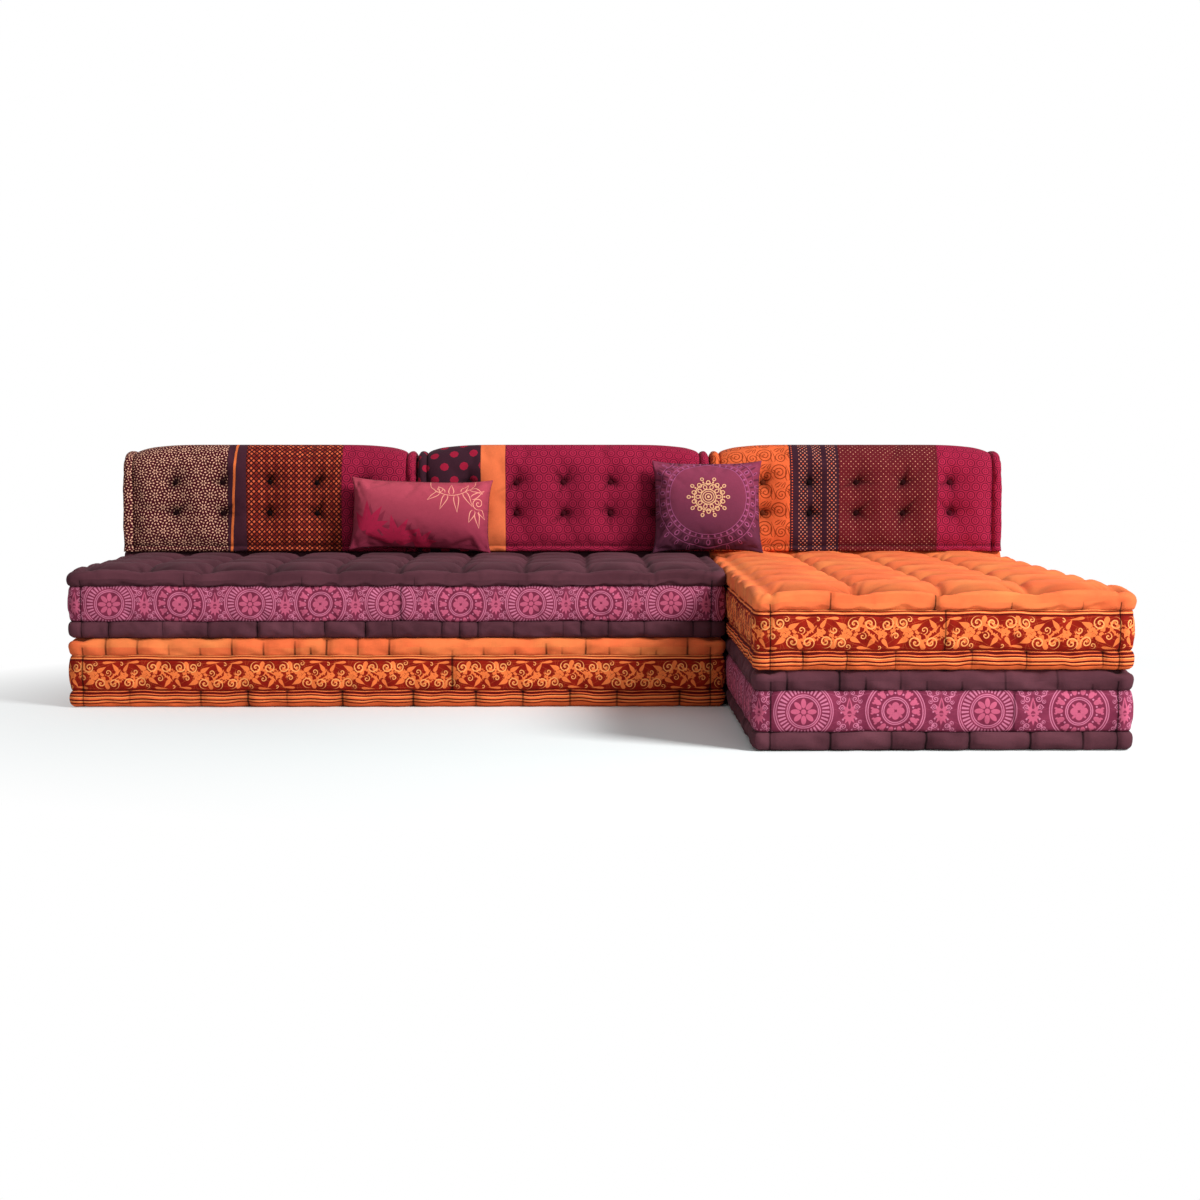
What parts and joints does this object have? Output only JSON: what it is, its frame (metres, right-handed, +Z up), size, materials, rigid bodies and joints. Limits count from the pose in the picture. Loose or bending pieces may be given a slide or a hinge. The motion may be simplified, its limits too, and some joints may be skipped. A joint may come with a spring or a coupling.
{
  "type": "sectional sofa",
  "caption": "Floor-level L-shaped sectional of stacked tufted mattresses with loose button-tufted backs and two scatter pillows.",
  "frame": {"origin": "on the floor, at the centre of the sofa's box", "axes": "+X along the long seat towards the chaise, +Y towards the backs, so the front faces -Y, +Z up"},
  "size_m": [2.8504, 1.8, 0.7495],
  "materials": {
    "orange_cloth": "woven cotton, matt",
    "plum_cloth": "woven cotton, matt",
    "floral_print": "woven cotton, matt",
    "medallion_print": "woven cotton, matt",
    "foam": "soft open-cell foam wrapped in cotton wadding",
    "twine": "waxed linen twine",
    "patchwork_left": "woven cotton, matt",
    "patchwork_middle": "woven cotton, matt",
    "patchwork_right": "woven cotton, matt",
    "buttons_left": "woven cotton, matt",
    "buttons_middle": "woven cotton, matt",
    "buttons_right": "woven cotton, matt",
    "lumbar_cloth": "woven cotton, matt",
    "square_cloth": "woven cotton, matt",
    "filling": "white polyester fibre"
  },
  "bodies": {
    "long_base": {"long_base_bottom": "orange_cloth", "long_base_border": "floral_print", "long_base_top": "orange_cloth", "long_base_core": "foam", "long_base_twine": "twine"},
    "long_seat": {"long_seat_bottom": "plum_cloth", "long_seat_border": "medallion_print", "long_seat_top": "plum_cloth", "long_seat_core": "foam", "long_seat_twine": "twine"},
    "chaise_base": {"chaise_base_bottom": "plum_cloth", "chaise_base_border": "medallion_print", "chaise_base_top": "plum_cloth", "chaise_base_core": "foam", "chaise_base_twine": "twine"},
    "chaise_seat": {"chaise_seat_bottom": "orange_cloth", "chaise_seat_border": "floral_print", "chaise_seat_top": "orange_cloth", "chaise_seat_core": "foam", "chaise_seat_twine": "twine"},
    "back_left": {"back_left_cover": "patchwork_left", "back_left_core": "foam", "back_left_twine": "twine", "back_left_buttons": "buttons_left"},
    "back_middle": {"back_middle_cover": "patchwork_middle", "back_middle_core": "foam", "back_middle_twine": "twine", "back_middle_buttons": "buttons_middle"},
    "back_right": {"back_right_cover": "patchwork_right", "back_right_core": "foam", "back_right_twine": "twine", "back_right_buttons": "buttons_right"},
    "lumbar_pillow": {"lumbar_pillow_front": "lumbar_cloth", "lumbar_pillow_rear": "lumbar_cloth", "lumbar_pillow_filling": "filling"},
    "square_pillow": {"square_pillow_front": "square_cloth", "square_pillow_rear": "square_cloth", "square_pillow_filling": "filling"}
  },
  "joints": [
    {"name": "long_seat_lift", "type": "slide", "parent": "long_base", "child": "long_seat", "axis": [0, 0, 1], "range_m": [0, 0.4]},
    {"name": "chaise_base_draw_out", "type": "slide", "parent": "long_base", "child": "chaise_base", "axis": [1, 0, 0], "range_m": [0, 0.6]},
    {"name": "chaise_seat_slide_off", "type": "slide", "parent": "chaise_base", "child": "chaise_seat", "axis": [1, 0, 0], "range_m": [0, 0.5]},
    {"name": "back_left_lift", "type": "slide", "parent": "long_seat", "child": "back_left", "axis": [0, 0, 1], "range_m": [0, 0.4]},
    {"name": "back_middle_lift", "type": "slide", "parent": "long_seat", "child": "back_middle", "axis": [0, 0, 1], "range_m": [0, 0.4]},
    {"name": "back_right_lift", "type": "slide", "parent": "chaise_seat", "child": "back_right", "axis": [0, 0, 1], "range_m": [0, 0.4]},
    {"name": "lumbar_pillow_lift", "type": "slide", "parent": "long_seat", "child": "lumbar_pillow", "axis": [0, 0, 1], "range_m": [0, 0.45]},
    {"name": "square_pillow_lift", "type": "slide", "parent": "long_seat", "child": "square_pillow", "axis": [0, 0, 1], "range_m": [0, 0.45]}
  ]
}
